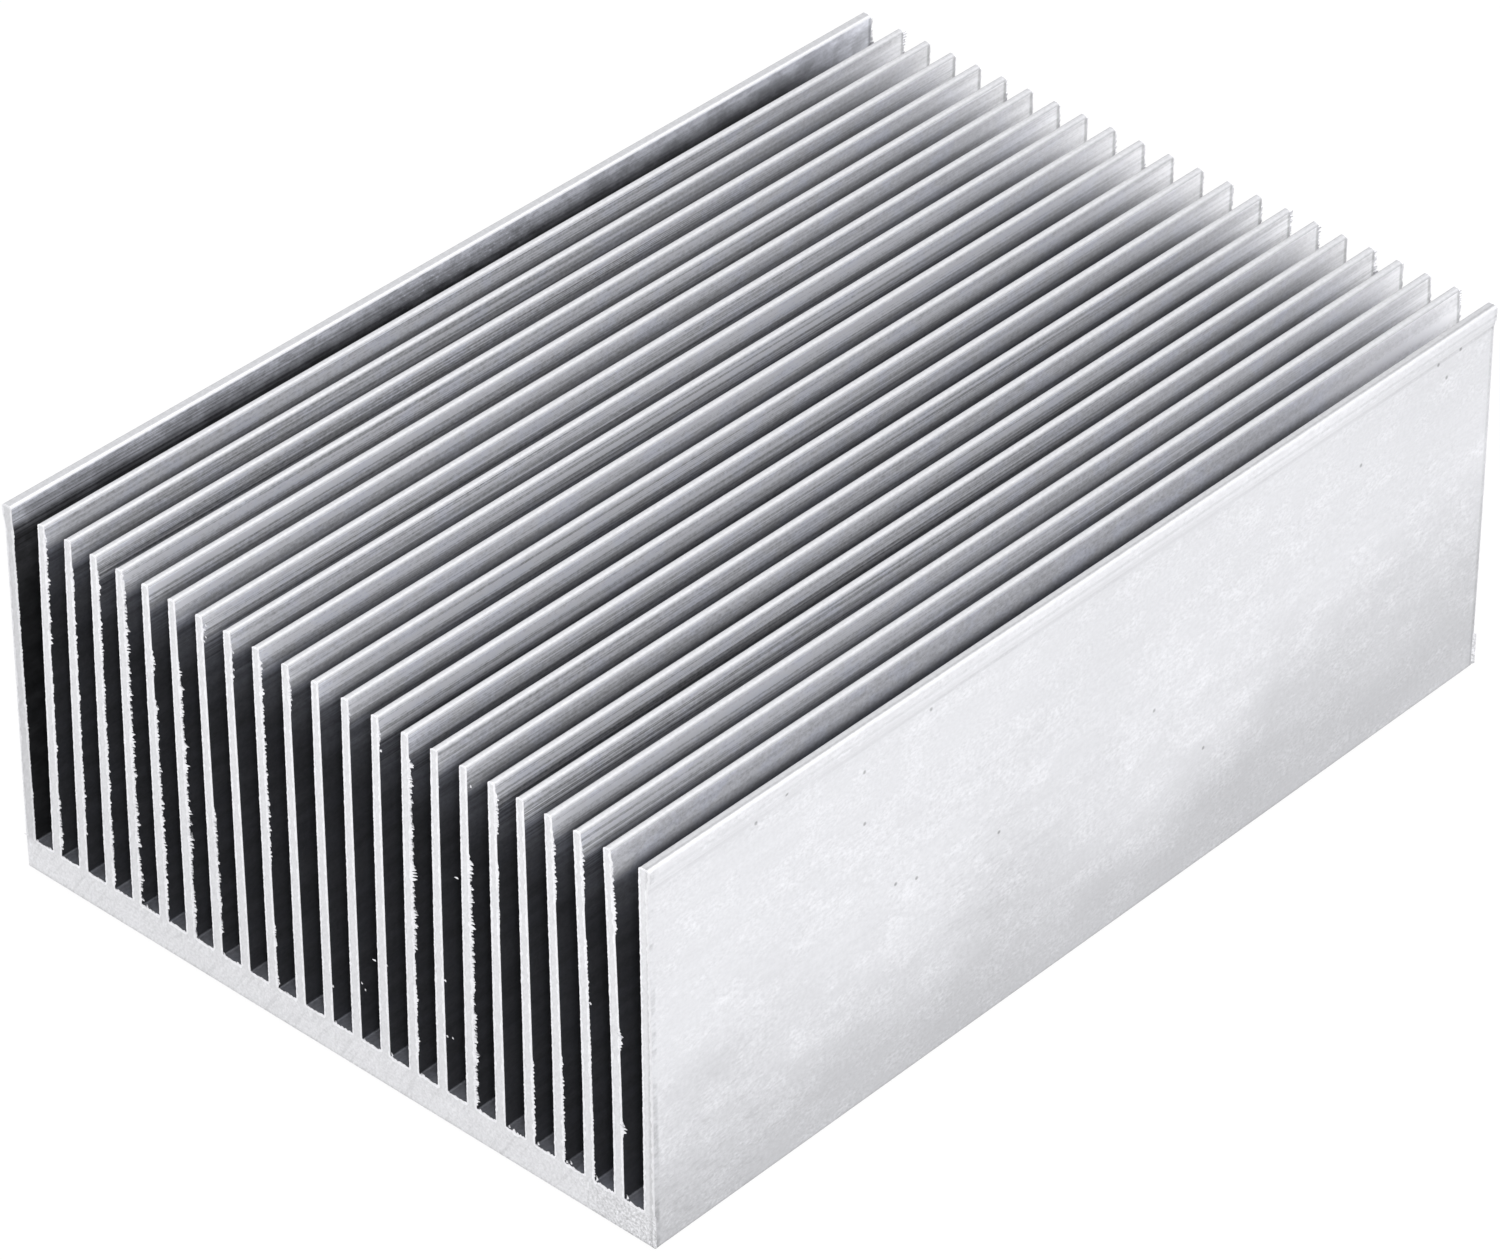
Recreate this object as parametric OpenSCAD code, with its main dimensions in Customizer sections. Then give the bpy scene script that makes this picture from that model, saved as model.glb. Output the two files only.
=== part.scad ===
// Extruded heat sink: one comb-shaped aluminium profile, sawn to length.
// X runs across the fins, Y along the extrusion, Z up from the flat mounting face.
// The origin is at the centre of the mounting face. Millimetres.

/* [Overall size] */
// Width across the fins, at the foot of the outer fins
sink_w = 69; // [60:1:90]
// Length that the bar is sawn to
sink_l = 100; // [20:5:300]
// Height from the mounting face to the fin tips
sink_h = 36; // [20:1:50]

/* [Base plate] */
// Thickness of the base plate under the channels
base_t = 3.3; // [2:0.1:8]
// Rounding of the two long bottom edges
base_edge_r = 0.3; // [0.1:0.1:1]
// Break of the bottom edge at each sawn end
end_break = 0.25; // [0.1:0.05:0.6]

/* [Fins] */
// Number of fins, the two outer ones included
fin_count = 23; // [9:1:25]
// Thickness of an inner fin at its root
fin_root_t = 1.0; // [0.7:0.05:1.3]
// Thickness of an inner fin at its tip
fin_tip_t = 0.74; // [0.5:0.02:1]
// Thickness of the two outer fins at their root
outer_root_t = 1.06; // [0.8:0.02:1.5]
// Thickness of the two outer fins at their tip, without the lip
outer_tip_t = 0.8; // [0.6:0.02:1.2]
// Rounding of the fin tips, less where a fin is too thin for it
tip_r = 0.28; // [0.05:0.01:0.4]
// Fillet between a fin and the channel floor
root_r = 0.2; // [0.05:0.05:0.4]

/* [Lips of the outer fins] */
// Height of the thick band along the top of each outer fin
lip_h = 2.0; // [1:0.1:5]
// Part of that height over which the face slopes out to the lip
lip_slope_h = 0.9; // [0.2:0.1:1]
// How far the lip stands proud of the outer face
lip_t = 0.22; // [0.1:0.02:0.4]

/* [Lean of the fins] */
// Lean of the middle fin at its tip, towards +X
lean_middle = 0.22; // [-0.5:0.01:0.5]
// How fast the fins next to the middle fan apart
lean_fan = 1.0; // [0:0.1:1.5]
// How strongly the fins to either side close in on the middle
lean_close = 5.2; // [0:0.1:6]
// How much of that closing is lost again towards the outer fins
lean_recover = 3.4; // [0:0.1:4]
// Share of the lean that the stiffer outer fins take
outer_lean_share = 0.4; // [0:0.05:0.6]

/* [Hidden] */

face_steps = 6;    // flats along the height of a fin face
corner_steps = 5;  // flats in a rounded edge or fillet
cut_margin = 1;    // how far a cutter runs past what it cuts

fin_pitch = (sink_w - outer_root_t) / (fin_count - 1);
fin_h = sink_h - base_t;

// Where fin i stands across the base, and the same as -1 at the left fin to 1 at the right one
function fin_x(i) = (i - (fin_count - 1) / 2) * fin_pitch;
function fin_place(i) = 2 * i / (fin_count - 1) - 1;

function is_outer(i) = i == 0 || i == fin_count - 1;
// True for the outward face of an outer fin, where side is -1 for a left face and 1 for a right one
function is_flank(i, side) = i == (side < 0 ? 0 : fin_count - 1);

// Sideways lean of the tip of a fin at place u, as the profile leaves the die
function tip_lean(u) = lean_middle + lean_fan * u - lean_close * pow(u, 3) + lean_recover * pow(u, 5);
// The left fins lean evenly from the root, the right ones bend near the tip
function bend_power(u) = 1.5 + 0.5 * u;

// Centre line and half thickness of fin i, at share s of its height
function fin_centre(i, s) =
    let (u = fin_place(i), share = is_outer(i) ? outer_lean_share : 1)
    fin_x(i) + share * tip_lean(u) * pow(s, bend_power(u));
function fin_half_t(i, s) =
    let (root_t = is_outer(i) ? outer_root_t : fin_root_t, tip_t = is_outer(i) ? outer_tip_t : fin_tip_t)
    (root_t + (tip_t - root_t) * s) / 2;
function tip_round(i) = min(tip_r, 0.9 * fin_half_t(i, 1));

// A point of a fin face at height z
function face_point(i, side, z) =
    let (s = max(0, z - base_t) / fin_h)
    [fin_centre(i, s) + side * fin_half_t(i, s), z];
function face_points(i, side, z0, z1) =
    [for (k = [0:face_steps]) face_point(i, side, z0 + (z1 - z0) * k / face_steps)];

// Quarter rounds, walked from bottom to top. x is the face that each one meets.
function rise(r, a) = r * (1 - cos(a));
function fillet_at_root(x, side) =
    [for (k = [0:corner_steps - 1]) let (a = 90 * k / corner_steps)
        [x + side * rise(root_r, 90 - a), base_t + rise(root_r, a)]];
function round_at_base(x, side) =
    [for (k = [0:corner_steps]) let (a = 90 * k / corner_steps)
        [x - side * rise(base_edge_r, 90 - a), rise(base_edge_r, a)]];
function round_at_tip(x, side, r) =
    [for (k = [0:corner_steps]) let (a = 90 * k / corner_steps)
        [x - side * rise(r, a), sink_h - rise(r, 90 - a)]];

// One side of a fin between two channels, from the channel floor to the tip
function inner_side(i, side) =
    let (r = tip_round(i), tip_x = face_point(i, side, sink_h - r)[0])
    concat(
        fillet_at_root(face_point(i, side, base_t)[0], side),
        face_points(i, side, base_t + root_r, sink_h - 2 * r),
        round_at_tip(tip_x, side, r)
    );

// The outward side of an outer fin, from the bottom of the base over the lip to the tip
function outer_side(i, side) =
    let (
        lip_z = sink_h - lip_h,
        lip_foot_x = face_point(i, side, lip_z)[0],
        lip_x = lip_foot_x + side * lip_t
    )
    concat(
        round_at_base(side * sink_w / 2, side),
        face_points(i, side, base_t, lip_z),
        [[lip_x, lip_z + lip_slope_h]],
        round_at_tip(lip_x, side, tip_round(i))
    );

function fin_side(i, side) = is_flank(i, side) ? outer_side(i, side) : inner_side(i, side);
function reversed(points) = [for (k = [len(points) - 1:-1:0]) points[k]];

// The whole outline: up the left side of each fin and down its right side.
// The channel floors and the bottom close it.
module comb_section() {
    polygon([
        for (i = [0:fin_count - 1])
            each concat(fin_side(i, -1), reversed(fin_side(i, 1)))
    ]);
}

// Wedge that takes the bottom edge off one sawn end
module end_break_cut(end) {
    side = end_break * sqrt(2);
    translate([0, end * sink_l / 2, 0])
        rotate([45, 0, 0])
            cube([sink_w + 2 * cut_margin, side, side], center = true);
}

module heatsink() {
    color("gainsboro")
        difference() {
            rotate([90, 0, 0])
                linear_extrude(height = sink_l, center = true)
                    comb_section();
            end_break_cut(-1);
            end_break_cut(1);
        }
}

heatsink();
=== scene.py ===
"""Looks of the extruded heat sink: bare metal, saw burr, floor, lights and camera."""

import math
from typing import NamedTuple

import bmesh
import bpy
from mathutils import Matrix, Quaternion, Vector, noise


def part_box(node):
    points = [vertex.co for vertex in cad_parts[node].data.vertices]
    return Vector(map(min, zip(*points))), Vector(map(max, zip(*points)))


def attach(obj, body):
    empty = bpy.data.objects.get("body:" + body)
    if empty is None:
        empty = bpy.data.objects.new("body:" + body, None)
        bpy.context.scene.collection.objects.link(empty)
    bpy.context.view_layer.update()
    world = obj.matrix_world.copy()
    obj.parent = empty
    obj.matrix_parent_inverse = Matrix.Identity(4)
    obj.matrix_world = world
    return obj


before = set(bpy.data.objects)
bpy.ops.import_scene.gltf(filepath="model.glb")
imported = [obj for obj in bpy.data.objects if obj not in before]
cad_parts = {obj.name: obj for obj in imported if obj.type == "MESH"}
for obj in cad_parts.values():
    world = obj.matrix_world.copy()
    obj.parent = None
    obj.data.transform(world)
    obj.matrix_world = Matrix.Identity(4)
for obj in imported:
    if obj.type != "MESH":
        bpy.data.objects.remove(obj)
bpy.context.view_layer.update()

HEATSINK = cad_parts["heatsink"]
MM = 0.001


# ---------------------------------------------------------------- the sawn outline, read from the frame

def sawn_outline(y):
    """The outline of the sawn end at y as (x, z) corners, anticlockwise for an eye that looks along +Y."""
    mesh = HEATSINK.data
    steps = set()
    for face in mesh.polygons:
        if abs(face.normal.y) > 0.99 and abs(face.center.y - y) < 0.01 * MM:
            corners = [mesh.vertices[v].co for v in face.vertices]
            corners = [(round(c.x, 6), round(c.z, 6)) for c in corners]
            steps.update(zip(corners, corners[1:] + corners[:1]))
    after = {a: b for a, b in steps if (b, a) not in steps}
    outline = [min(after)]
    while after[outline[-1]] != outline[0]:
        outline.append(after[outline[-1]])
    return outline if y < 0 else outline[::-1]


LOW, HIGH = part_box("heatsink")
OUTLINE = sawn_outline(LOW.y)
# The channel floors are the lowest corners above the rounded bottom edges
ABOVE_BOTTOM = 1.5 * MM
FLOOR_Z = min(z for x, z in OUTLINE if z > ABOVE_BOTTOM)
CHANNELS = sorted((a[0] + b[0]) / 2 for a, b in zip(OUTLINE, OUTLINE[1:]) if a[1] == b[1] == FLOOR_Z)
FIN_COUNT = len(CHANNELS) + 1
# About the thickness of an outer fin, near enough to number the fins by their place
FIN_T = 1.0 * MM
FIN_PITCH = (HIGH.x - LOW.x - FIN_T) / (FIN_COUNT - 1)


# ---------------------------------------------------------------- material building

class Nodes:
    """Builds one material's nodes. A value is a number, a tuple or another node's socket."""

    def __init__(self, name):
        self.material = bpy.data.materials.new(name)
        self.material.use_nodes = True
        self.tree = self.material.node_tree
        self.tree.nodes.clear()

    def add(self, kind, inputs, output=0, **settings):
        """Makes one node, sets or links its inputs, and gives back one of its outputs."""
        node = self.tree.nodes.new("ShaderNode" + kind)
        for name, value in settings.items():
            setattr(node, name, value)
        for name, value in inputs.items():
            if isinstance(value, bpy.types.NodeSocket):
                self.tree.links.new(value, node.inputs[name])
            else:
                node.inputs[name].default_value = value
        return node.outputs[output]

    def math(self, operation, a, b=0.0):
        return self.add("Math", {0: a, 1: b}, operation=operation)

    def times(self, *values):
        result = values[0]
        for value in values[1:]:
            result = self.math("MULTIPLY", result, value)
        return result

    def total(self, *values):
        result = values[0]
        for value in values[1:]:
            result = self.math("ADD", result, value)
        return result

    def scaled(self, vector, factors):
        return self.add("VectorMath", {0: vector, 1: factors}, operation="MULTIPLY")

    def vector(self, x, y, z):
        return self.add("CombineXYZ", {"X": x, "Y": y, "Z": z})

    def axes(self, vector):
        return self.add("SeparateXYZ", {"Vector": vector}).node.outputs[:]

    def noise(self, vector, scale, detail=0.0, roughness=0.5):
        inputs = {"Vector": vector, "Scale": scale, "Detail": detail, "Roughness": roughness}
        return self.add("TexNoise", inputs)

    def rise(self, value, low, high):
        """0 at low and 1 at high, smooth between them and level beyond."""
        inputs = {"Value": value, "From Min": low, "From Max": high}
        return self.add("MapRange", inputs, interpolation_type="SMOOTHSTEP")

    def fall(self, value, low, high):
        """1 at low and 0 at high, smooth between them and level beyond."""
        return self.rise(value, high, low)

    def near(self, value, place, reach):
        """1 where value is at place, down to 0 at reach from it."""
        distance = self.math("ABSOLUTE", self.math("SUBTRACT", value, place))
        return self.fall(distance, 0.3 * reach, reach)

    def spread(self, value, amount):
        """A 0 to 1 value turned into plus or minus half of amount."""
        return self.times(self.math("SUBTRACT", value, 0.5), amount)

    def blend(self, share, a, b):
        """a where share is 0, b where it is 1."""
        return self.add("Mix", {0: share, 2: a, 3: b}, data_type="FLOAT")


# Where the object ends upwards, along the bar and sideways, and its channel floors, in mm
TOP = HIGH.z / MM
END = HIGH.y / MM
SIDE = HIGH.x / MM
FLOOR = FLOOR_Z / MM

METALLIC = 0.5
# Brings the tones of the looks to the level of the metal's colour, which stays within these limits
TONE_LEVEL = 0.86
DARKEST = 0.01
LIGHTEST = 0.97
# Tints, as factors on the tone: NEUTRAL where a look's coolness is 0, COOL where it is 1
NEUTRAL = {"Red": 0.990, "Green": 0.990, "Blue": 1.013}
COOL = {"Red": 0.925, "Green": 0.960, "Blue": 1.110}


class Metal(Nodes):
    """The nodes of a bare metal, with what its looks share: the place in mm, the normal and two noises."""

    def __init__(self, name):
        super().__init__(name)
        self.mm = self.scaled(self.add("TexCoord", {}, output="Object"), (1 / MM, 1 / MM, 1 / MM))
        self.x, self.y, self.z = self.axes(self.mm)
        self.nx, self.ny, self.nz = self.axes(self.add("TexCoord", {}, output="Normal"))
        self.grain = self.noise(self.scaled(self.mm, (1.0, 0.6, 1.0)), 4.0, 2.0, 0.65)
        self.mottle = self.noise(self.scaled(self.mm, (1.0, 0.6, 1.0)), 0.45, 3.0, 0.65)

    def shader(self, look):
        tone = self.math("MAXIMUM", self.times(look.tone, TONE_LEVEL), DARKEST)
        tone = self.math("MINIMUM", tone, LIGHTEST)
        tinted = {c: self.times(tone, self.blend(look.coolness, NEUTRAL[c], COOL[c])) for c in NEUTRAL}
        inputs = {"Metallic": METALLIC, "Roughness": look.roughness}
        inputs["Base Color"] = self.add("CombineColor", tinted)
        if look.height:
            inputs["Normal"] = self.add("Bump", {"Strength": 1.0, "Distance": MM, "Height": look.height})
        return self.add("BsdfPrincipled", inputs)

    def mix(self, share, a, b):
        """Shader a where share is 0, b where it is 1."""
        return self.add("MixShader", {0: share, 1: a, 2: b})

    def finish(self, shader):
        output = self.tree.nodes.new("ShaderNodeOutputMaterial")
        self.tree.links.new(shader, output.inputs["Surface"])
        return self.material


class Look(NamedTuple):
    """What one kind of surface looks like. Each is a number or a socket, and the height is in mm."""
    tone: object
    coolness: object
    roughness: object
    height: object = None


# ---------------------------------------------------------------- looks of the surfaces

# Marks on the right outer face: their (y, z), and how far each kind reaches, in mm
PITS = [
    (42.7, 33.8), (45.6, 33.9), (43.9, 32.0), (-38.4, 33.7), (-35.2, 34.6), (-26.5, 31.7), (-19.0, 33.4),
    (-26.5, 26.9), (-20.6, 18.4), (-23.0, 19.2), (7.6, 18.7), (-11.0, 17.3), (33.0, 29.0), (14.0, 11.5),
]
PIT_REACH = 0.24
SCUFFS = [(-42.0, 7.5), (-13.0, 14.0), (-44.0, 3.0)]
SCUFF_REACH = 9.5
# Groove along the tip of the right outer fin, from its outermost face: a darker line of painted shade
TIP_GROOVE = 0.5
# Foot of the lip on the outward faces
LIP_FOOT = TOP - 2.0
# Width of a strip along either side that holds the outer fin and nothing of the next one
OUTER_STRIP = 1.9
# The last inner fin on the right and all beyond it, where the channels get less painted shade and more
# painted light at the back end
LIGHTER_FROM = SIDE - 7.0
# Heights between which the base of a sawn end gives way to the fins
BASE_LOW = FLOOR - 0.7
BASE_HIGH = FLOOR + 0.3


def die_lines(n, fin):
    """Fine, broad and bright lines that the die leaves along the whole length, different on each fin."""
    drawn = n.vector(n.times(fin, 7.31), n.times(n.y, 0.003), n.z)
    own = n.noise(n.vector(n.times(fin, 3.17), n.times(n.y, 0.012), 4.0), 1.0)
    strength = n.times(
        n.blend(n.rise(own, 0.38, 0.62), 0.6, 1.2), n.blend(n.rise(n.y, 0.0, 42.0), 1.0, 0.25),
        n.blend(n.rise(n.z, TOP - 6.0, TOP - 2.5), 0.12, 1.0),
    )
    fine = n.spread(n.rise(n.noise(drawn, 4.2, 2.0, 0.7), 0.3, 0.7), 1.0)
    broad = n.spread(n.rise(n.noise(drawn, 0.9), 0.3, 0.7), 1.0)
    bright = n.rise(n.noise(drawn, 2.4), 0.66, 0.72)
    return n.times(fine, strength), broad, n.times(bright, strength)


def extruded_look(n):
    """The faces between the fins: die lines, patches, a fine grain, painted shade down in the channels,
    and painted light at the back ends and on the channel floors by the mouth.
    """
    fin = n.math("FLOOR", n.total(n.times(n.x, MM / FIN_PITCH), 0.5))
    fine, broad, bright = die_lines(n, fin)
    # Painted light: from here the channels get less painted shade, more painted light at the back end, and
    # fainter die lines
    last = n.rise(n.x, LIGHTER_FROM, LIGHTER_FROM + 1.0)
    lines = n.times(n.total(n.times(fine, 0.85), n.times(bright, 0.40)), n.blend(last, 1.0, 0.25))
    grain = n.times(n.spread(n.grain, 0.80), n.blend(n.rise(n.y, 0.0, END), 1.0, 0.5))
    clean = n.total(0.96, lines, n.times(broad, 0.20), grain, n.spread(n.mottle, 0.22))
    # Painted shade: darker down in the channels. On the last channel it begins deeper, and deeper still
    # towards the back
    lit_z = n.total(n.z, n.times(last, n.blend(n.rise(n.y, -10.0, 40.0), 0.5, 0.9)))
    shade = n.total(
        0.065, n.times(n.rise(n.z, TOP - 9.0, TOP - 3.0), 0.075),
        n.times(n.rise(lit_z, TOP - 3.1, TOP - 0.6), 0.92),
    )
    # Painted light at the back ends: the painted shade gives way there, from further forward and to a
    # lighter level on the last channel
    back_light_y = n.total(n.y, n.times(last, 9.0))
    back_end_light = n.times(n.rise(back_light_y, END - 14.0, END), n.rise(n.z, TOP - 8.0, TOP - 3.0))
    # Painted light on the channel floors near the mouth
    mouth_floor_light = n.times(n.fall(n.y, 0.5 - END, 7.0 - END), n.rise(n.nz, 0.5, 0.9))
    back_light_level = n.total(0.99, n.times(last, 0.16))
    shade = n.total(n.blend(back_end_light, shade, back_light_level), n.times(mouth_floor_light, 0.20))
    under_tip = n.times(n.near(n.z, TOP - 0.45, 0.14), n.rise(fine, 0.0, 0.2))
    tone = n.times(n.math("SUBTRACT", clean, n.times(under_tip, 0.18)), shade)
    # Cooler where the painted shade is deep
    deep_shade = n.fall(shade, 0.15, 0.6)
    back_edge = n.near(n.y, END - 0.1, 0.4)
    tone = n.times(tone, n.blend(back_edge, 1.0, 0.65))
    patches = n.total(0.22, n.times(n.rise(n.mottle, 0.45, 0.65), 0.3))
    coolness = n.total(n.times(n.blend(back_end_light, 1.0, 0.2), patches), n.times(deep_shade, 0.58))
    return Look(tone, coolness, n.total(0.42, n.times(fine, -0.1)))


def stained_look(n, look):
    """The inner face of the left outer fin: as the others, but stained, most of all in its front half."""
    patches = n.rise(n.mottle, 0.40, 0.60)
    front = n.fall(n.total(n.y, n.spread(patches, 12.0)), -8.0, 10.0)
    low = n.fall(n.z, TOP - 3.4, TOP - 0.5)
    clean = n.math("SUBTRACT", 0.82, n.times(low, n.blend(front, 0.10, 0.36)))
    specks = n.times(n.rise(n.grain, 0.60, 0.68), n.near(n.y, 0.0, 12.0))
    stained = n.total(clean, n.spread(patches, 0.22), n.times(specks, 0.30))
    return look._replace(tone=n.times(look.tone, n.math("MAXIMUM", stained, 0.08)), coolness=0.5)


def tip_look(n, outer):
    """The tips of the fins: a painted highlight on the edges that face right, most on the two outer fins,
    painted shade on the inner fins' edges that face left and on their steep sides, and duller on top of
    the two outer fins.
    """
    # Painted highlight on edges facing right, painted shade on edges facing left and on the steep sides
    lit_right = n.rise(n.nx, 0.0, 0.4)
    shaded_left = n.rise(n.times(n.nx, -1.0), 0.0, 0.5)
    steep_shade = n.fall(n.nz, 0.3, 0.9)
    # Painted shade of the groove
    groove = n.near(n.x, SIDE - TIP_GROOVE, 0.13)
    inner_tone = n.total(0.70, n.times(lit_right, 0.06), n.times(shaded_left, -0.16), n.times(steep_shade, -0.15))
    outer_tone = n.total(0.63, n.times(lit_right, 0.30), n.times(groove, -0.12))
    tone = n.total(n.blend(outer, inner_tone, outer_tone), n.spread(n.grain, 0.26))
    return Look(tone, 0.1, 0.45)


def marked(n, marks, reach):
    """1 at each mark on an outer face, down to 0 at its reach."""
    flat = n.scaled(n.mm, (0.0, 1.0, 1.0))
    nearest = reach
    for place in marks:
        distance = n.add("VectorMath", {0: flat, 1: (0.0, *place)}, output="Value", operation="DISTANCE")
        nearest = n.math("MINIMUM", nearest, distance)
    return n.fall(nearest, 0.3 * reach, reach)


def outer_look(n):
    """The outward faces: cloudy and mottled, darker low down in cloudy patches of painted shade, with a
    painted shadow along the foot, and with pits and scuffs on the right one.
    """
    clouds = n.noise(n.scaled(n.mm, (1.0, 0.6, 1.0)), 0.055, 2.0, 0.6)
    streaks = n.noise(n.scaled(n.mm, (1.0, 0.03, 1.0)), 1.3, 1.0, 0.6)
    scratches = n.noise(n.scaled(n.mm, (1.0, 0.22, 1.0)), 3.2, 1.0)
    # Painted shade: darker low down, in cloudy patches, and reaching higher towards the back
    cloudy_z = n.total(n.z, n.spread(clouds, 16.0), n.spread(n.mottle, 5.0), n.times(n.y, -0.03))
    cloudy_low_shade = n.fall(cloudy_z, 2.0, 21.0)
    worn = n.blend(n.rise(n.mottle, 0.35, 0.65), 0.5, 1.5)
    lip = n.times(n.blend(n.rise(streaks, 0.35, 0.6), 0.4, 1.0), n.total(
        n.times(n.near(n.z, LIP_FOOT - 0.05, 0.3), n.rise(n.grain, 0.3, 0.6), -0.16),
        n.times(n.near(n.z, LIP_FOOT + 0.4, 0.25), n.rise(n.grain, 0.4, 0.6), -0.12),
        n.times(n.near(n.z, LIP_FOOT + 1.1, 0.2), -0.12),
        n.times(n.rise(n.z, LIP_FOOT, LIP_FOOT + 0.3), 0.06),
    ))
    right = n.rise(n.x, 0.0, 1.0)
    pits = n.times(marked(n, PITS, PIT_REACH), right, -0.40)
    scuffs = n.times(marked(n, SCUFFS, SCUFF_REACH), n.rise(scratches, 0.54, 0.66), right, -0.05)
    rim = n.total(
        n.times(n.near(n.y, 0.3 - END, 0.4), n.rise(n.mottle, 0.45, 0.6)),
        n.times(n.near(n.y, END - 0.1, 0.4), n.rise(n.grain, 0.3, 0.6)),
    )
    # Painted contact shadow along the foot
    foot_shadow = n.fall(n.z, 0.1, 0.5)
    tone = n.total(
        0.86, n.times(n.y, 0.0005), n.spread(clouds, 0.15), n.spread(streaks, 0.05),
        n.times(n.spread(n.mottle, 0.16), worn), n.times(n.spread(n.grain, 0.30), worn),
        lip, n.times(cloudy_low_shade, -0.24), pits, scuffs, n.times(rim, -0.18), n.times(foot_shadow, -0.14),
    )
    return Look(tone, 0.12, n.total(0.42, n.spread(n.mottle, 0.15)), n.times(n.grain, 0.008))


# Direction of the saw's strands, from +X towards +Z
SAW_ANGLE = math.radians(58)
# How much brighter than a sawn end its rim and burr are
BURR_BRIGHTER = 0.16


def sawn_look(n):
    """The sawn ends: torn strands along the saw's path, rougher and greyer across the base."""
    along = n.total(n.times(n.x, math.cos(SAW_ANGLE)), n.times(n.z, math.sin(SAW_ANGLE)))
    across = n.total(n.times(n.x, -math.sin(SAW_ANGLE)), n.times(n.z, math.cos(SAW_ANGLE)))
    strands = n.noise(n.vector(n.times(along, 0.35), across, n.y), 3.2, 2.0, 0.65)
    scratches = n.rise(n.noise(n.vector(n.times(along, 0.1), across, 3.0), 2.3), 0.62, 0.70)
    base = n.fall(n.z, BASE_LOW, BASE_HIGH)
    corner = n.times(n.rise(n.x, SIDE - 9.5, SIDE - 3.5), base)
    # Darker along the bottom edge: painted contact shadow, together with a burr on that edge
    bottom_shadow_and_burr = n.fall(n.z, 0.15, 0.65)
    left_fin = n.times(n.fall(n.x, 1.2 - SIDE, 1.7 - SIDE), n.rise(n.z, BASE_LOW, BASE_HIGH))
    right_edge = n.rise(n.x, SIDE - 0.6, SIDE - 0.35)
    amount = n.total(0.24, n.times(base, 0.22), n.times(corner, 0.9))
    tone = n.total(
        0.805, n.times(n.rise(n.z, FLOOR + 0.7, TOP), 0.07), n.times(base, 0.035), n.times(corner, -0.08),
        n.spread(strands, 0.22), n.times(n.spread(n.grain, 1.0), amount),
        n.times(n.spread(n.mottle, 0.16), base), n.times(scratches, base, -0.06),
        n.times(bottom_shadow_and_burr, -0.16), n.times(left_fin, -0.13), n.times(right_edge, -0.12),
    )
    return Look(tone, 0.05, n.total(0.5, n.spread(n.grain, 0.2)), n.times(strands, 0.02))


def heatsink_metal():
    """All looks in one material, each on the faces that its place and direction pick out."""
    n = Metal("mill_aluminium")
    on_outer_fin = n.rise(n.math("ABSOLUTE", n.x), SIDE - OUTER_STRIP, SIDE - OUTER_STRIP + 0.1)
    facing_out = n.rise(n.times(n.math("SIGN", n.x), n.nx), 0.3, 0.6)
    is_stained = n.times(n.rise(n.nx, 0.3, 0.6), n.fall(n.x, OUTER_STRIP - SIDE, OUTER_STRIP - SIDE + 0.1))
    is_tip = n.times(n.rise(n.nz, 0.15, 0.5), n.rise(n.z, TOP - 0.5, TOP - 0.3))
    is_end = n.rise(n.math("ABSOLUTE", n.ny), 0.5, 0.8)
    inner = extruded_look(n)
    shader = n.mix(is_stained, n.shader(inner), n.shader(stained_look(n, inner)))
    shader = n.mix(n.times(facing_out, on_outer_fin), shader, n.shader(outer_look(n)))
    shader = n.mix(is_tip, shader, n.shader(tip_look(n, on_outer_fin)))
    shader = n.mix(is_end, shader, n.shader(sawn_look(n)))
    return n.finish(shader)


def burr_metal():
    """The rim and the burr of the sawn ends, brighter than the ends themselves."""
    n = Metal("torn_aluminium")
    look = sawn_look(n)
    return n.finish(n.shader(look._replace(tone=n.total(look.tone, BURR_BRIGHTER))))


# ---------------------------------------------------------------- saw burr

# Sizes of the burr, in mm. Steps between its rings: fine where it is wider than FINE_FROM
FINE_STEP = 0.05
COARSE_STEP = 0.15
FINE_FROM = 0.08
# Width of the bright rim on the sawn face, and how far it lies off that face
RIM = 0.17
RIM_LIFT = 0.012
# Width of the burr on a clean edge and on the channel floors, and its least depth behind the sawn face
BURR_LEAST = 0.02
FLOOR_BURR = 0.16
BURR_DEPTH = 0.04
# Height over which a heavy stretch grows to its full width
BURR_FADE = 0.8
# Most that the back burr adds to the least, and the length of its patches
BACK_BURR = 0.16
BACK_PATCH = 9.0
# Length of a tooth in the torn edge, and the least factor on the width between two teeth
TOOTH = 0.42
TOOTH_LEAST = 0.05
# Steps along a sliver, its width and depth, and how far its near end lies off the sawn face
SLIVER_STEPS = 6
SLIVER_WIDTH = 0.25
SLIVER_DEPTH = 0.05
SLIVER_LIFT = 0.02
# A point this close to the channel floor counts as on it
ON_FLOOR = 0.05

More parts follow.
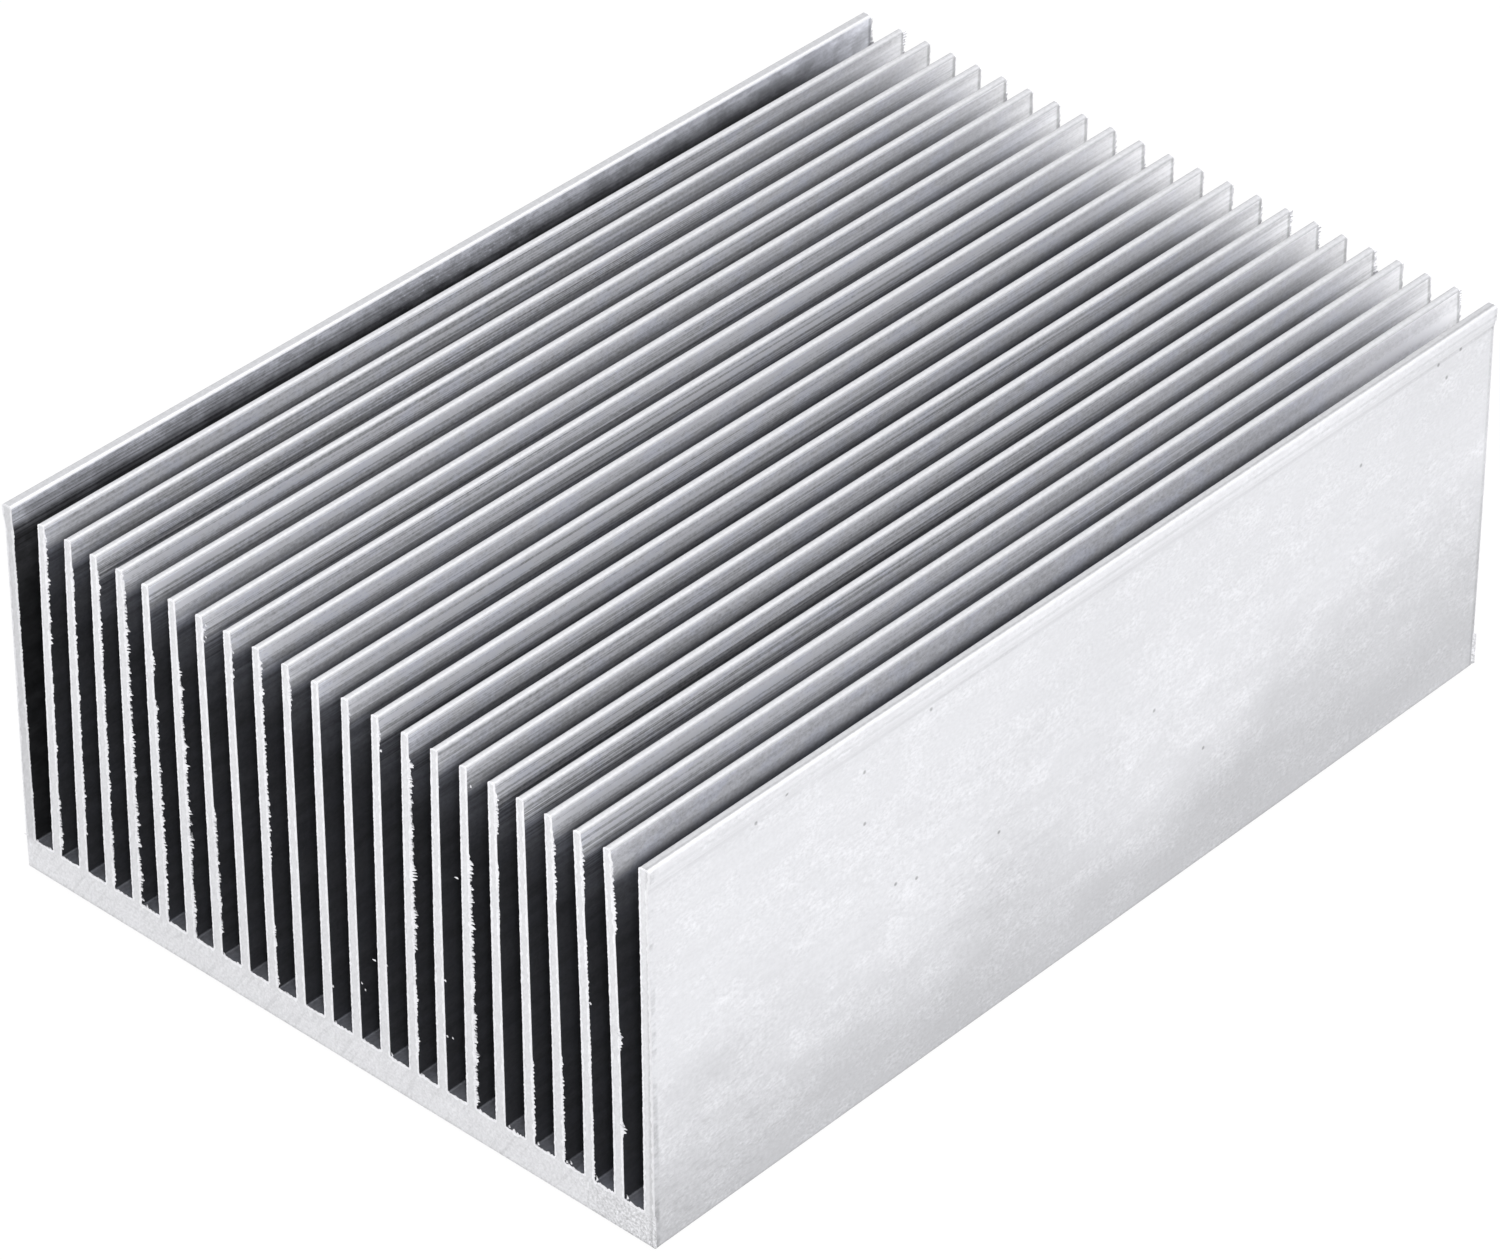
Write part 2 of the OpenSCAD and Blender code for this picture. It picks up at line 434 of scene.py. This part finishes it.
# Fin counted from 1 at the left, and the stretches of its right edge that carry a heavy burr:
# from height, to height, width of the burr, all in mm
FRONT_BURR = {
    1: [(4, 35, 0.12)],
    2: [(3.5, 10, 0.30), (10, 24, 0.14), (24, 35.5, 0.27)],
    3: [(7, 34, 0.16)],
    4: [(3.5, 35, 0.22)],
    5: [(3.5, 36, 0.32)],
    6: [(27, 30.3, 0.25), (3, 25.4, 0.28)],
    7: [(3, 30.5, 0.36)],
    8: [(5, 18, 0.30), (34, 36, 0.15)],
    9: [(31, 35.5, 0.14)],
    10: [(3, 10, 0.16), (15, 35.5, 0.24)],
    11: [(31.5, 35.5, 0.20)],
    13: [(33.5, 35.5, 0.12)],
    14: [(33, 35.5, 0.22)],
    15: [(15, 34, 0.34), (5, 15, 0.16)],
    17: [(3.5, 28, 0.36)],
    18: [(22, 29, 0.12), (31, 35.5, 0.30)],
    19: [(3.5, 12, 0.14)],
    20: [(3, 14, 0.16), (28, 35, 0.20)],
    21: [(3, 27, 0.10), (29, 35.5, 0.20)],
    22: [(28, 35.5, 0.22), (17.5, 19.8, 0.30), (9, 11.2, 0.28)],
}
# Slivers of metal that hang on the front burr: fin, height, distance from the fin's right face,
# direction from +X towards +Z, and length. The direction is in degrees and the rest in mm
FRONT_SLIVERS = [
    (3, 32.0, 0.10, 60, 0.40), (3, 31.5, 0.05, 20, 0.35), (3, 7.3, 0.00, 25, 0.60),
    (5, 24.3, 0.05, 35, 0.85), (5, 3.9, 0.25, 50, 0.50), (6, 25.0, 0.10, 70, 0.50),
    (8, 35.3, 0.40, 70, 0.25), (8, 34.9, 0.25, 40, 0.30), (8, 34.6, 0.10, 60, 0.30),
    (8, 34.2, 0.30, 50, 0.25), (8, 33.7, 0.15, 80, 0.25), (9, 34.2, 0.20, 55, 0.40),
    (9, 32.6, 0.15, 40, 0.35), (10, 3.8, 0.15, 60, 0.60), (11, 33.4, 0.10, 60, 0.35),
    (12, 6.9, 0.05, 40, 0.50), (13, 34.7, 0.10, 50, 0.35), (13, 9.0, 0.30, 65, 0.30),
    (13, 8.6, 0.60, 20, 0.25), (14, 32.9, 0.05, 30, 0.65), (14, 12.3, 0.00, 50, 0.40),
    (14, 12.1, -1.15, 130, 0.30), (15, 31.4, 0.15, 40, 0.50), (15, 16.6, 0.15, 30, 0.45),
    (16, 9.0, 0.75, 40, 0.35), (16, 8.9, 0.10, 15, 0.40), (16, 14.3, 0.05, 20, 0.50),
    (16, 32.7, 0.00, 60, 0.30), (17, 34.4, 0.35, 45, 0.45), (17, 25.0, -1.15, 140, 0.30),
    (17, 24.7, 0.20, 50, 0.35), (18, 33.0, 0.15, 65, 0.55), (21, 20.5, 0.05, 10, 0.50),
    (22, 18.6, 0.10, 75, 0.90), (22, 10.0, 0.10, 78, 0.90), (19, 3.5, 0.30, 50, 0.70),
    (20, 3.5, 0.20, 40, 0.55), (20, 3.6, 0.70, 60, 0.60), (21, 3.5, 0.25, 58, 0.95),
    (22, 3.5, 0.30, 55, 0.90), (5, 3.5, 0.60, 40, 0.60), (18, 3.5, 0.35, 45, 0.55),
    (1, 3.4, 0.20, 40, 0.45), (8, 3.4, 0.15, 60, 0.45), (12, 3.4, 0.20, 50, 0.45),
    (13, 3.4, 0.25, 45, 0.40), (14, 3.5, 0.20, 60, 0.60), (15, 3.4, 0.30, 50, 0.40),
]


def lump(place, length, seed):
    """Smooth noise from 0 to 1 along an edge, with lumps about that long. Both are in mm."""
    value = noise.noise(Vector((place / length, seed * 3.7, seed * 1.3)))
    return min(1.0, max(0.0, 0.5 + value))


def teeth(place, seed):
    """Factor on the width of the torn edge: a tooth widens slowly upwards and ends in a sharp notch."""
    phase = (place / TOOTH + 1.6 * lump(place, 1.3, seed)) % 1.0
    tooth = phase / 0.7 if phase < 0.7 else (1.0 - phase) / 0.3
    size = 0.4 + 1.2 * lump(place, 0.7, seed + 5)
    fray = lump(place, 0.12, seed + 9) - 0.5
    return 0.15 + 0.35 * lump(place, 2.2, seed + 20) + 1.3 * tooth * size + 1.4 * fray


def front_burr_width(fin, height):
    """Width of the burr on the right edge of a fin, in mm: least, but for the heavy stretches."""
    width = BURR_LEAST
    for low, high, heavy in FRONT_BURR.get(fin, []):
        inside = min(height - low, high - height)
        width = max(width, heavy * min(1.0, max(0.0, inside / BURR_FADE)))
    return width


def back_burr_width(fin, height):
    """The same at the back end, where it comes and goes in patches."""
    return BURR_LEAST + BACK_BURR * lump(height, BACK_PATCH, fin + 200) ** 2


def burr_ring(mesh, point, normal, place, width, seed, y, outward):
    """Three corners across the edge: on the sawn face, at the end of the torn flap, and behind it."""
    width *= max(TOOTH_LEAST, teeth(place, seed)) * MM
    curl = outward * width * (0.1 + 0.5 * lump(place, 0.9, seed + 80))
    up = 0.0 if normal.y > 0.5 else 0.45 * width
    rim = RIM * MM * (0.5 + lump(place, 0.5, seed + 40))
    return [
        mesh.verts.new((point.x - normal.x * rim, y + RIM_LIFT * MM * outward, point.y - normal.y * rim)),
        mesh.verts.new((point.x + normal.x * width, y + curl, point.y + normal.y * width + up)),
        mesh.verts.new((point.x, y - outward * (BURR_DEPTH * MM + 0.3 * width), point.y)),
    ]


def sweep_burr(mesh, outline, y, outward, width_at):
    """One ragged strip along the sawn outline, from the foot of the right side to that of the left one."""
    rings = []
    for start, end in zip(outline, outline[1:]):
        # Points of the outline are 2D, so their y is the height
        a, b = Vector(start), Vector(end)
        if a.y < FLOOR_Z / 2 and b.y < FLOOR_Z / 2:
            continue  # the bottom has no burr
        normal = Vector((b.y - a.y, a.x - b.x)).normalized()
        fin = 1 + sum(x < a.x for x in CHANNELS)
        facing_right = normal.x > 0.5 and fin < FIN_COUNT
        done = 0.0
        while done < 1.0:
            point = a.lerp(b, done)
            on_floor = point.y < FLOOR_Z + ON_FLOOR * MM
            place = point.x / MM if on_floor else point.y / MM
            width = FLOOR_BURR if on_floor else BURR_LEAST
            if facing_right and not on_floor:
                width = width_at(fin, place)
            rings.append(burr_ring(mesh, point, normal, place, width, fin, y, outward))
            step = FINE_STEP if width > FINE_FROM else COARSE_STEP
            done += step * MM / (b - a).length
    bridge(mesh, rings)


def bridge(mesh, rings):
    """Joins three-cornered rings into one closed strip."""
    for a, b in zip(rings, rings[1:]):
        for k in range(3):
            mesh.faces.new((a[k], a[k - 1], b[k - 1], b[k]))
    mesh.faces.new(rings[0])
    mesh.faces.new(rings[-1][::-1])


def add_sliver(mesh, x, z, y, outward, angle, length):
    """A thin chip of foil, narrow at both ends, whose far end curls out of the sawn face."""
    forward = Vector((math.cos(angle), math.sin(angle)))
    sideways = Vector((-forward.y, forward.x))
    rings = []
    for k in range(SLIVER_STEPS + 1):
        t = k / SLIVER_STEPS
        half = 0.5 * SLIVER_WIDTH * MM * math.sin(math.pi * (0.1 + 0.8 * t)) ** 1.5
        centre = Vector((x, z)) + forward * length * t + sideways * 0.25 * length * t * t
        lift = y + outward * (SLIVER_LIFT * MM + 0.4 * length * t * t)
        left, right = centre + sideways * half, centre - sideways * half
        rings.append([
            mesh.verts.new((left.x, lift, left.y)),
            mesh.verts.new((right.x, lift, right.y)),
            mesh.verts.new((centre.x, lift - outward * SLIVER_DEPTH * MM, centre.y)),
        ])
    bridge(mesh, rings)


def right_face_x(outline, fin, height):
    """Where the right face of a fin stands at a height."""
    places = []
    for (xa, za), (xb, zb) in zip(outline, outline[1:]):
        if za <= height < zb:
            places.append(xa + (xb - xa) * (height - za) / (zb - za))
    return sorted(places)[fin - 1]


def link(obj):
    bpy.context.collection.objects.link(obj)
    return obj


def add_piece(name, mesh, material):
    """Turns a bmesh into a piece of the object."""
    data = bpy.data.meshes.new(name)
    bmesh.ops.recalc_face_normals(mesh, faces=mesh.faces)
    mesh.to_mesh(data)
    mesh.free()
    data.materials.append(material)
    piece = link(bpy.data.objects.new(name, data))
    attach(piece, "root")


def add_burr(name, y, outward, width_at, slivers, material):
    """The burr of the sawn end at y, whose outside lies towards outward, 1 or -1 along Y."""
    mesh = bmesh.new()
    outline = sawn_outline(y)
    sweep_burr(mesh, outline, y, outward, width_at)
    for fin, height, gap, angle, length in slivers:
        x = right_face_x(outline, fin, height * MM) + gap * MM
        add_sliver(mesh, x, height * MM, y, outward, math.radians(angle), length * MM)
    add_piece(name, mesh, material)


# ---------------------------------------------------------------- studio

# Half the side of the floor, in m, and how far it lies under the object
FLOOR_HALF = 4.0
FLOOR_GAP = 0.02 * MM
# The floor's own grey, the strength of its white glow, and the glow's share where it is seen directly
FLOOR_GREY = 0.8
FLOOR_GLOW = 1.03
GLOW_SHARE = 0.9
# Strength of the sky as light on matt surfaces. Where it is seen, it is white
SKY_LIGHT = 0.66
# The camera, and the target that it and the lamps look at. The lens is in mm, for a 36 mm sensor
CAMERA_TARGET = Vector((0.5, -2.3, 15.2)) * MM
CAMERA_DISTANCE = 539 * MM
CAMERA_AZIMUTH = math.radians(42.53)
CAMERA_ELEVATION = math.radians(36.06)
CAMERA_ROLL = math.radians(-0.09)
CAMERA_LENS = 160.58


def seen_directly(n):
    """1 for rays that show the background: from the camera, in a reflection or through glass."""
    rays = n.tree.nodes.new("ShaderNodeLightPath")
    seen = n.math("MAXIMUM", rays.outputs["Is Camera Ray"], rays.outputs["Is Glossy Ray"])
    return n.math("MAXIMUM", seen, rays.outputs["Is Transmission Ray"])


def add_floor():
    n = Nodes("floor")
    own = n.add("BsdfDiffuse", {"Color": (FLOOR_GREY, FLOOR_GREY, FLOOR_GREY, 1.0)})
    glow = n.add("Emission", {"Color": (1.0, 1.0, 1.0, 1.0), "Strength": FLOOR_GLOW})
    surface = n.add("MixShader", {0: n.times(seen_directly(n), GLOW_SHARE), 1: own, 2: glow})
    output = n.tree.nodes.new("ShaderNodeOutputMaterial")
    n.tree.links.new(surface, output.inputs["Surface"])
    data = bpy.data.meshes.new("floor")
    signs = [(-1, -1), (1, -1), (1, 1), (-1, 1)]
    corners = [(x * FLOOR_HALF, y * FLOOR_HALF, LOW.z - FLOOR_GAP) for x, y in signs]
    data.from_pydata(corners, [], [(0, 1, 2, 3)])
    data.materials.append(n.material)
    link(bpy.data.objects.new("floor", data))


def add_world():
    world = bpy.data.worlds.new("studio")
    world.use_nodes = True
    bpy.context.scene.world = world
    tree = world.node_tree
    tree.nodes.clear()
    rays = tree.nodes.new("ShaderNodeLightPath")
    diffuse = tree.nodes.new("ShaderNodeMix")
    diffuse.inputs[2].default_value = 1.0
    diffuse.inputs[3].default_value = SKY_LIGHT
    tree.links.new(rays.outputs["Is Diffuse Ray"], diffuse.inputs[0])
    sky = tree.nodes.new("ShaderNodeBackground")
    sky.inputs["Color"].default_value = (1.0, 1.0, 1.0, 1.0)
    tree.links.new(diffuse.outputs[0], sky.inputs["Strength"])
    output = tree.nodes.new("ShaderNodeOutputWorld")
    tree.links.new(sky.outputs[0], output.inputs["Surface"])


def add_lamp(name, place, size, power):
    """A square lamp with its place and size in m and its power in W."""
    data = bpy.data.lights.new(name, "AREA")
    data.size = size
    data.energy = power
    lamp = link(bpy.data.objects.new(name, data))
    lamp.location = place
    lamp.rotation_mode = "QUATERNION"
    lamp.rotation_quaternion = (CAMERA_TARGET - Vector(place)).to_track_quat("-Z", "Y")


def add_camera():
    data = bpy.data.cameras.new("camera")
    data.lens = CAMERA_LENS
    data.clip_start = 0.01
    camera = link(bpy.data.objects.new("camera", data))
    level = math.cos(CAMERA_ELEVATION)
    back = Vector((
        math.sin(CAMERA_AZIMUTH) * level,
        -math.cos(CAMERA_AZIMUTH) * level,
        math.sin(CAMERA_ELEVATION),
    ))
    camera.location = CAMERA_TARGET + back * CAMERA_DISTANCE
    camera.rotation_mode = "QUATERNION"
    aim = (-back).to_track_quat("-Z", "Y")
    camera.rotation_quaternion = aim @ Quaternion((0, 0, 1), CAMERA_ROLL)
    bpy.context.scene.camera = camera


# ---------------------------------------------------------------- the scene

HEATSINK.data.materials.clear()
HEATSINK.data.materials.append(heatsink_metal())
sawn = burr_metal()
add_burr("burr_front", LOW.y, -1, front_burr_width, FRONT_SLIVERS, sawn)
add_burr("burr_back", HIGH.y, 1, back_burr_width, [], sawn)
add_floor()
add_world()
add_lamp("key", place=(0.623, -0.561, 0.545), size=0.25, power=5.5)
add_lamp("top", place=(0.0, 0.15, 1.0), size=0.6, power=4.1)
add_camera()
bpy.context.scene.view_settings.view_transform = "Standard"
